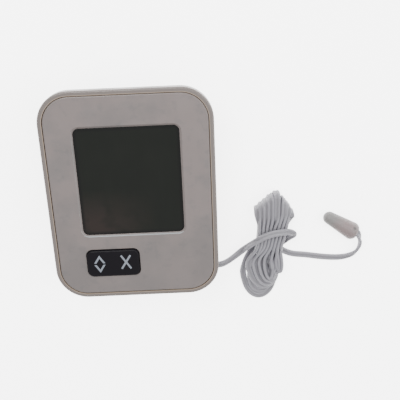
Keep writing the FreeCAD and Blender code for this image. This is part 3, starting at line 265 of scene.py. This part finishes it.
def sweep(name, line, section):
    """A closed tube of the section along the line, with an attribute that marks the groove."""
    rings = []
    for i, point in enumerate(line):
        along = (line[min(i + 1, len(line) - 1)] - line[max(i - 1, 0)]).normalized()
        wide = width_along(i / (len(line) - 1))
        wide = (wide - wide.dot(along) * along).normalized()
        thick = along.cross(wide)
        rings.append([point + wide * u + thick * v for u, v in section])
    sides, last = len(section), (len(rings) - 1) * len(section)
    faces = [[ring + i, ring + (i + 1) % sides, ring + sides + (i + 1) % sides, ring + sides + i]
             for ring in range(0, last, sides) for i in range(sides)]
    faces += [list(range(sides))[::-1], list(range(last, last + sides))]
    mesh = bpy.data.meshes.new(name)
    mesh.from_pydata([point for ring in rings for point in ring], [], faces)
    mesh.polygons.foreach_set("use_smooth", [True] * len(mesh.polygons))
    groove = mesh.attributes.new("groove", "FLOAT", "POINT")
    groove.data.foreach_set("value", [max(0, 1 - abs(u) / CORE) for ring in rings for u, v in section])
    piece = bpy.data.objects.new(name, mesh)
    bpy.context.scene.collection.objects.link(piece)
    return piece


lead_line = smooth_line([metres(point) for point, wide in ROUTE])
lead = sweep("lead", lead_line, twin_section())
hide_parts("cord_lead", "cord_hank", "cord_tail")
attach(lead, "case")


# ---------------------------------------------------------------- shader values
class Value:
    """A shader socket, so that sums of values over a surface read as Python."""

    def __init__(self, finish, socket):
        self.finish = finish
        self.socket = socket

    def calc(self, operation, first, second):
        """A Math node on two values."""
        return self.finish.node("Math", {"operation": operation}, {0: first, 1: second})

    def __add__(self, other):
        return self.calc("ADD", self, other)

    def __radd__(self, other):
        return self.calc("ADD", other, self)

    def __sub__(self, other):
        return self.calc("SUBTRACT", self, other)

    def __rsub__(self, other):
        return self.calc("SUBTRACT", other, self)

    def __mul__(self, other):
        return self.calc("MULTIPLY", self, other)

    def __rmul__(self, other):
        return self.calc("MULTIPLY", other, self)


class Finish:
    """A procedural material with one principled shader. Its sizes are in millimetres."""

    def __init__(self, name, **constants):
        self.material = bpy.data.materials.new(name)
        self.material.use_nodes = True
        self.tree = self.material.node_tree
        self.shader = self.tree.nodes["Principled BSDF"]
        self.place = self.node("TexCoord", {}, {}, "Object")
        for socket, value in constants.items():
            self.shader.inputs[socket.replace("_", " ")].default_value = value

    def node(self, kind, settings, inputs, output=0):
        """A node of this kind: its settings first, then what its sockets hold or are linked to."""
        made = self.tree.nodes.new("ShaderNode" + kind)
        for name, value in settings.items():
            setattr(made, name, value)
        for name, value in inputs.items():
            if isinstance(value, Value):
                self.tree.links.new(value.socket, made.inputs[name])
            else:
                made.inputs[name].default_value = value
        return Value(self, made.outputs[output])

    def feed(self, **links):
        """Links values into the shader's sockets of these names."""
        for socket, value in links.items():
            self.tree.links.new(value.socket, self.shader.inputs[socket.replace("_", " ")])

    def cloud(self, size, detail=3.0, place=None):
        """Soft noise from 0 to 1 whose patches are about that many millimetres across."""
        return self.node("TexNoise", {}, {"Vector": place or self.place, "Scale": 1 / (size * MM),
                                          "Detail": detail})

    def stretched(self, x, y, z):
        """The place, squeezed by these shares, for streaks."""
        return self.vector("MULTIPLY", self.place, (x, y, z))

    def cells(self, size, randomness=1.0):
        """How far the nearest of many scattered points is, as a share of their spacing in millimetres."""
        return self.node("TexVoronoi", {}, {"Vector": self.place, "Scale": 1 / (size * MM),
                                            "Randomness": randomness})

    def step(self, value, low, high):
        """From 0 at low to 1 at high, and flat beyond both. Low may be the greater."""
        return self.node("MapRange", {}, {"Value": value, "From Min": low, "From Max": high})

    def axis(self, name):
        """The place along one axis, in metres."""
        return self.node("SeparateXYZ", {}, {0: self.place}, name)

    def attribute(self, name):
        """A value that the mesh carries under this name."""
        return self.node("Attribute", {"attribute_name": name}, {}, "Fac")

    def vector(self, operation, first, second=(0, 0, 0), output=0):
        """A Vector Math node on two vectors."""
        return self.node("VectorMath", {"operation": operation}, {0: first, 1: second}, output)

    def length(self, vector):
        """The length of a vector, in metres."""
        return self.vector("LENGTH", vector, output="Value")

    def away(self, point):
        """How far the place is from a point, in metres."""
        return self.length(self.vector("SUBTRACT", self.place, point))

    def past_edge(self, low, high, corner):
        """How far the place lies outside a box with rounded corners, in metres, seen from above."""
        middle, half = (low + high) / 2, (high - low) / 2
        flat = self.vector("MULTIPLY", self.vector("SUBTRACT", self.place, middle), (1, 1, 0))
        inner = (half.x - corner, half.y - corner, 0)
        beyond = self.vector("MAXIMUM", self.vector("SUBTRACT", self.vector("ABSOLUTE", flat), inner))
        return self.length(beyond) - corner

    def mix(self, share, first, second):
        """The first colour, with that share of the second."""
        first, second = ((*c, 1) if isinstance(c, tuple) else c for c in (first, second))
        return self.node("Mix", {"data_type": "RGBA"}, {0: share, 6: first, 7: second}, 2)

    def bump(self, height, depth, below=None):
        """The surface raised by height times that many millimetres, over another bump."""
        inputs = {"Height": height, "Distance": depth * MM}
        if below:
            inputs["Normal"] = below
        return self.node("Bump", {}, inputs)


def shade(colour, factor):
    """The colour, darker or brighter by a factor."""
    return tuple(min(1.0, c * factor) for c in colour)


# ---------------------------------------------------------------- finishes
def moulding(name, colour, rough=0.45, grain=0.35, depth=0.012, mottle=0.05, scuff=0.12, trim=None,
             **constants):
    """Injection-moulded plastic: fine eroded grain, faint flow mottling, and rubbed patches."""
    made = Finish(name, **constants)
    flow = made.cloud(14)
    speck = made.step(made.cells(1.7), 0.05, 0.02)
    tint = made.mix(flow, shade(colour, 1 - mottle), shade(colour, 1 + mottle))
    tint = made.mix(speck * 0.10, tint, shade(colour, 0.7))
    rubbed = made.step(made.cloud(6, 5), 0.5, 0.68)
    made.feed(Base_Color=trim(made, tint) if trim else tint)
    made.feed(Roughness=rough + scuff * (rubbed - 0.5) + 0.08 * made.cloud(1.2))
    fine = made.bump(made.cloud(grain, 2), depth)
    made.feed(Normal=made.bump(made.cloud(9, 2), depth * 1.5, fine))
    return made.material


# The face's corners at the seam, how deep the seam is tinted, and its colours.
SEAM_CORNER = 11.15 * MM
SEAM_DEPTH = 4 * MM
# A painted shade beside the seam, and a tan inside its gap, painted brighter than the case to lift the gap's
# shade.
SEAM_PAINTED_SHADE = (0.078, 0.062, 0.048)
SEAM_TAN_PAINTED_LIGHT = (0.215, 0.167, 0.128)


def paint_seam_shade_and_tan(made, tint, way, wall):
    """Painted shade beside the seam round the face, and a tan in its gap, painted bright to lift the gap's
    shade.

    The way is 1 on the face and -1 on the rim. The wall is where the tan starts, in millimetres past the
    face's edge.
    """
    low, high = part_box("front_cover")
    past = made.past_edge(low, high, SEAM_CORNER)
    front = made.step(made.axis("Z"), high.z - SEAM_DEPTH, high.z - SEAM_DEPTH + 0.5 * MM)
    # Painted shade that darkens both sides of the seam.
    seam_shade = made.step(past, -way * 0.6 * MM, way * 0.1 * MM)
    tint = made.mix(front * seam_shade * 0.4, tint, SEAM_PAINTED_SHADE)
    # A bright tan painted within the gap: painted light over the gap's shade.
    inside = made.step(past, (wall - 0.03) * MM, wall * MM) * made.step(past, 0.5 * MM, 0.4 * MM)
    return made.mix(front * inside, tint, SEAM_TAN_PAINTED_LIGHT)


def rim_seam_painted_shade(made, tint):
    """The seam's outer side, on the rim: its painted shade and painted tan."""
    return paint_seam_shade_and_tan(made, tint, -1, 0.1)


WINDOW_CORNER = 2.4 * MM
SMUDGE = (0.080, 0.073, 0.072)
# Painted shade for the face towards its foot, and painted highlights for the window's bevel.
FOOT_PAINTED_SHADE = (0.082, 0.074, 0.072)
BEVEL_PAINTED_HIGHLIGHT = (0.20, 0.225, 0.235)
BEVEL_SIDE_PAINTED_LIGHT = (0.22, 0.22, 0.215)


def face_smudges_and_painted_light(made, tint):
    """Smudges, painted foot shade, painted highlights on the window's bevel below and left, and the seam."""
    smudge = made.step(made.cloud(17, 5), 0.45, 0.60)
    speck = made.step(made.cloud(3.2, 3), 0.56, 0.66)
    tint = made.mix(smudge * 0.55 + speck * 0.30, tint, SMUDGE)
    # Painted shade: the face darker towards its foot.
    foot_shade = made.step(made.axis("Y"), -10 * MM, -40 * MM)
    tint = made.mix(foot_shade * 0.3, tint, FOOT_PAINTED_SHADE)
    low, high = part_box("display_lens")
    past = made.past_edge(low, high, WINDOW_CORNER)
    # Painted highlight on the bevel below the window, and fainter painted light on its left side.
    bevel_highlight_band = made.step(past, 0.5 * MM, 0.6 * MM) * made.step(past, 0.85 * MM, 0.8 * MM)
    under = made.step(made.axis("Y"), low.y + 0.3 * MM, low.y - 0.3 * MM)
    left = made.step(made.axis("X"), low.x + 0.2 * MM, low.x - 0.3 * MM)
    tint = made.mix(bevel_highlight_band * (0.9 * under), tint, BEVEL_PAINTED_HIGHLIGHT)
    tint = made.mix(bevel_highlight_band * (0.25 * left), tint, BEVEL_SIDE_PAINTED_LIGHT)
    return paint_seam_shade_and_tan(made, tint, 1, -0.02)


PINK_SHIFT = (2, -2, 0)
PROBE_PINK = (0.138, 0.103, 0.102)
NOTCH_PAINTED_SHADE = (0.045, 0.042, 0.042)


def probe_trim(made, tint):
    """The filling shows pink through the probe's middle, and the lead goes in beside a notch's painted shade.
    """
    low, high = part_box("probe_shell")
    middle = (low + high) / 2 + metres(PINK_SHIFT)
    pink = made.step(made.away(middle) + 4 * MM * made.cloud(3, 3), 10.5 * MM, 6 * MM)
    tint = made.mix(pink * 0.9, tint, PROBE_PINK)
    # Painted shade: a dark spot standing in for the notch beside the lead.
    notch_shade = made.step(made.away(metres(PROBE_NOTCH_SHADE_SPOT)), 1.0 * MM, 0.5 * MM)
    return made.mix(notch_shade * 0.75, tint, NOTCH_PAINTED_SHADE)


def metal(name, colour, rough=0.28, brushed=(1, 12, 1)):
    """Plated or pressed metal: drawn lines, and tarnish in patches."""
    made = Finish(name, Metallic=1.0)
    lines = made.cloud(0.8, 4, made.stretched(*brushed))
    dull = made.step(made.cloud(2.5, 4), 0.45, 0.75)
    bright = made.mix(lines, shade(colour, 0.9), colour)
    made.feed(Base_Color=made.mix(dull * 0.25, bright, shade(colour, 0.45)))
    made.feed(Roughness=rough + 0.18 * lines + 0.2 * dull)
    made.feed(Normal=made.bump(lines, 0.008))
    return made.material


PANE_GREENS = ((0.0062, 0.0072, 0.0060), (0.0080, 0.0086, 0.0074))
PANE_BROWN = (0.0160, 0.0125, 0.0112)
PANE_EDGE_PAINTED_SHADE = (0.0050, 0.0050, 0.0051)


def window():
    """The dark glossy pane: painted shade at its edges, greenish within, browner at lower left, faintly
    wiped.
    """
    made = Finish("window", Coat_Roughness=0.03, Coat_IOR=1.5, Specular_IOR_Level=0.06)
    low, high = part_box("display_lens")
    past = made.past_edge(low, high, WINDOW_CORNER)
    # Painted shade: the pane near black at its edges, as the recess's shadow.
    edge_shade = made.step(past, -1.6 * MM, -0.4 * MM)
    haze = made.cloud(13, 3)
    dark = made.mix(haze, *PANE_GREENS)
    foot = made.step(made.axis("Y"), low.y + 20 * MM, low.y + 6 * MM)
    left = made.step(made.axis("X"), low.x + 32 * MM, low.x + 8 * MM)
    brown = foot * left * made.step(made.cloud(9, 2), 0.25, 0.55)
    dark = made.mix(brown, dark, PANE_BROWN)
    made.feed(Base_Color=made.mix(edge_shade * 0.75, dark, PANE_EDGE_PAINTED_SHADE))
    wiped = made.cloud(3, 5, made.stretched(1, 0.25, 1))
    made.feed(Roughness=0.10 + 0.10 * wiped, Coat_Weight=0.13 - 0.05 * wiped)
    made.feed(Normal=made.bump(made.cloud(18, 1), 0.02))
    return made.material


def glass(name, colour):
    """A display layer's glass: pale, smooth and a little hazy."""
    made = Finish(name, IOR=1.5)
    haze = made.cloud(8)
    made.feed(Base_Color=made.mix(haze, shade(colour, 0.85), colour), Roughness=0.05 + 0.12 * haze)
    made.feed(Normal=made.bump(made.cloud(2.5, 2), 0.004))
    return made.material


def film(name, colour, metallic):
    """A thin film with fine drawn lines."""
    made = Finish(name, Metallic=metallic)
    lines = made.cloud(0.5, 3, made.stretched(1, 0.1, 1))
    made.feed(Base_Color=made.mix(lines, shade(colour, 0.8), colour), Roughness=0.3 + 0.25 * lines)
    made.feed(Normal=made.bump(lines, 0.006))
    return made.material


MASK_GREENS = ((0.012, 0.10, 0.035), (0.02, 0.15, 0.05))
TRACK_GREEN = (0.035, 0.24, 0.075)


def circuit_lacquer():
    """Green solder mask over copper tracks, which stand out a little."""
    made = Finish("circuit_lacquer", Coat_Roughness=0.15)
    tracks = made.step(made.cells(3.2, 0.4), 0.42, 0.5)
    weave = made.cloud(0.7, 3, made.stretched(1, 3, 1))
    mask = made.mix(weave, *MASK_GREENS)
    made.feed(Base_Color=made.mix(tracks * 0.6, mask, TRACK_GREEN))
    made.feed(Roughness=0.35 + 0.15 * weave, Coat_Weight=0.5 - 0.2 * tracks)
    made.feed(Normal=made.bump(tracks, 0.03, made.bump(weave, 0.008)))
    return made.material


def soft_rubber(name, colour):
    """Matt rubber with a faint bloom."""
    made = Finish(name, Sheen_Weight=0.15)
    bloom = made.cloud(4, 4)
    made.feed(Base_Color=made.mix(bloom, shade(colour, 0.9), shade(colour, 1.08)))
    made.feed(Roughness=0.5 + 0.2 * bloom)
    made.feed(Normal=made.bump(made.cloud(0.25, 3), 0.01))
    return made.material


JACKET_GREYS = ((0.150, 0.146, 0.164), (0.180, 0.175, 0.192))
GROOVE_GRIME_AND_SHADE = (0.066, 0.064, 0.070)


def lead_jacket():
    """Soft flexible jacket of the twin lead: waxy, darker in its groove with grime and painted shade."""
    made = Finish("lead_jacket", Subsurface_Weight=0.12, Subsurface_Radius=(0.002, 0.0016, 0.0018),
                  Subsurface_Scale=0.5)
    patches = made.cloud(16, 3)
    ripple = made.cloud(0.9, 4)
    tint = made.mix(patches, *JACKET_GREYS)
    # Darker in the groove between the cores: grime, and painted shade.
    made.feed(Base_Color=made.mix(made.attribute("groove") * 0.62, tint, GROOVE_GRIME_AND_SHADE))
    made.feed(Roughness=0.40 + 0.16 * ripple + 0.06 * patches)
    made.feed(Normal=made.bump(ripple, 0.02, made.bump(made.cloud(0.3, 2), 0.006)))
    return made.material


SLEEVE_GREYS = ((0.02, 0.022, 0.03), (0.035, 0.037, 0.045))
BAND_COPPER = (0.50, 0.27, 0.09)
BAND_WIDTH = 13 * MM


def cell_jacket():
    """The cell's sleeve: a dark body, and a copper band at its positive end."""
    made = Finish("cell_sleeve", Metallic=0.35, Coat_Roughness=0.1)
    low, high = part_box("battery_cell")
    band = made.step(made.axis("X"), high.x - BAND_WIDTH, high.x - BAND_WIDTH + 0.3 * MM)
    flow = made.cloud(1.5, 4, made.stretched(0.2, 1, 1))
    dark = made.mix(flow, *SLEEVE_GREYS)
    made.feed(Base_Color=made.mix(band, dark, BAND_COPPER), Roughness=0.28 + 0.14 * flow)
    made.feed(Coat_Weight=0.4 + 0.2 * flow, Normal=made.bump(flow, 0.01))
    return made.material


CASE_WHITE = (0.092, 0.0765, 0.0695)
# Each finish, by the name of its slot in the record.
FINISHES = {
    "case_white": moulding("case_plastic", CASE_WHITE, rough=0.40, depth=0.008, trim=rim_seam_painted_shade),
    "face_white": moulding("face_plastic", (0.113, 0.0937, 0.0897), rough=0.38, depth=0.006, trim=face_smudges_and_painted_light),
    "window_dark": window(),
    "film_grey": film("polariser_film", (0.05, 0.055, 0.05), 0.0),
    "display_glass": glass("display_glass", (0.20, 0.24, 0.21)),
    "film_silver": film("reflector_film", (0.62, 0.64, 0.60), 0.9),
    "frame_black": moulding("frame_plastic", (0.03, 0.03, 0.032), rough=0.55, depth=0.015),
    "rubber_pink": soft_rubber("connector_rubber", (0.55, 0.28, 0.30)),
    "board_green": circuit_lacquer(),
    "resin_black": moulding("chip_resin", (0.018, 0.018, 0.02), rough=0.30, grain=2.0, depth=0.05),
    "steel_bright": metal("can_steel", (0.66, 0.66, 0.65)),
    "chip_black": moulding("resistor_body", (0.02, 0.02, 0.022), rough=0.4, grain=0.1, depth=0.004),
    "chip_tan": moulding("capacitor_body", (0.36, 0.24, 0.13), rough=0.5, grain=0.1, depth=0.005),
    "bead_black": moulding("sensor_bead", (0.02, 0.018, 0.018), rough=0.25, grain=0.8, depth=0.02),
    "key_black": moulding("key_plastic", (0.0046, 0.0039, 0.0053), rough=0.34, depth=0.004, scuff=0.08,
                          Specular_IOR_Level=0.08),
    "symbol_grey": moulding("symbol_ink", (0.118, 0.131, 0.155), grain=0.15, depth=0.006, mottle=0.08),
    "rubber_clear": soft_rubber("dome_rubber", (0.42, 0.43, 0.42)),
    "cell_jacket": cell_jacket(),
    "spring_steel": metal("spring_wire", (0.62, 0.61, 0.59), rough=0.22),
    "contact_steel": metal("contact_plate", (0.68, 0.66, 0.60), rough=0.25),
    "door_white": moulding("door_plastic", CASE_WHITE, rough=0.42, depth=0.010),
    "stand_white": moulding("stand_plastic", CASE_WHITE, rough=0.42, depth=0.010),
    "screw_steel": metal("screw_steel", (0.45, 0.45, 0.45), rough=0.32, brushed=(1, 1, 6)),
    "grommet_grey": soft_rubber("grommet_rubber", (0.115, 0.111, 0.120)),
    "lead_grey": lead_jacket(),
    "probe_white": moulding("probe_plastic", (0.117, 0.112, 0.108), rough=0.50, trim=probe_trim,
                            Subsurface_Weight=0.08, Subsurface_Radius=(0.002, 0.0016, 0.0015),
                            Subsurface_Scale=0.5),
}


def dress_nodes():
    """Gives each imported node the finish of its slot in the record."""
    for part in frame["record"]["subparts"]:
        for slot in nodes[part["node"]].material_slots:
            slot.material = FINISHES[part["material_slot"]]


dress_nodes()
lead.data.materials.append(FINISHES["lead_grey"])

# ---------------------------------------------------------------- floor and light
FLOOR_HALF = 1.5
FLOOR_GLOW = 4.0
PAPER_WHITES = ((0.93, 0.93, 0.93), (0.95, 0.95, 0.95))


def lay_floor():
    """A large sheet of pale paper, lit from within so that it stays as pale as its surroundings."""
    made = Finish("floor_paper", Specular_IOR_Level=0.2, Emission_Color=(1, 1, 1, 1),
                  Emission_Strength=FLOOR_GLOW)
    fibre = made.cloud(5, 4)
    made.feed(Base_Color=made.mix(fibre, *PAPER_WHITES), Roughness=0.85 + 0.1 * fibre)
    corners = [(x * FLOOR_HALF, y * FLOOR_HALF, 0) for x, y in ((-1, -1), (1, -1), (1, 1), (-1, 1))]
    mesh = bpy.data.meshes.new("floor")
    mesh.from_pydata(corners, [], [(0, 1, 2, 3)])
    mesh.materials.append(made.material)
    floor = bpy.data.objects.new("floor", mesh)
    bpy.context.scene.collection.objects.link(floor)


# The lamps aim at one place. Each has its own place, its size and its power.
AIM = Vector((0.02, 0.0, 0.01))
LAMPS = {
    "key_light": (Vector((-0.15, 0.38, 0.55)), 0.35, 5),
    "fill_light": (Vector((0.6, 0.1, 0.8)), 0.9, 9),
}
SKY_STRENGTH = 1.42


def hang_light(name, place, size, power):
    """A square lamp over the thermometer."""
    data = bpy.data.lights.new(name, "AREA")
    data.size = size
    data.energy = power
    light = bpy.data.objects.new(name, data)
    light.location = place
    light.rotation_mode = "QUATERNION"
    light.rotation_quaternion = (AIM - place).to_track_quat("-Z", "Y")
    bpy.context.scene.collection.objects.link(light)


def light_studio():
    """An even white sky with two soft lamps."""
    world = bpy.data.worlds.new("studio")
    world.use_nodes = True
    sky = world.node_tree.nodes["Background"]
    sky.inputs["Color"].default_value = (1, 1, 1, 1)
    sky.inputs["Strength"].default_value = SKY_STRENGTH
    bpy.context.scene.world = world
    for name, (place, size, power) in LAMPS.items():
        hang_light(name, place, size, power)


lay_floor()
light_studio()
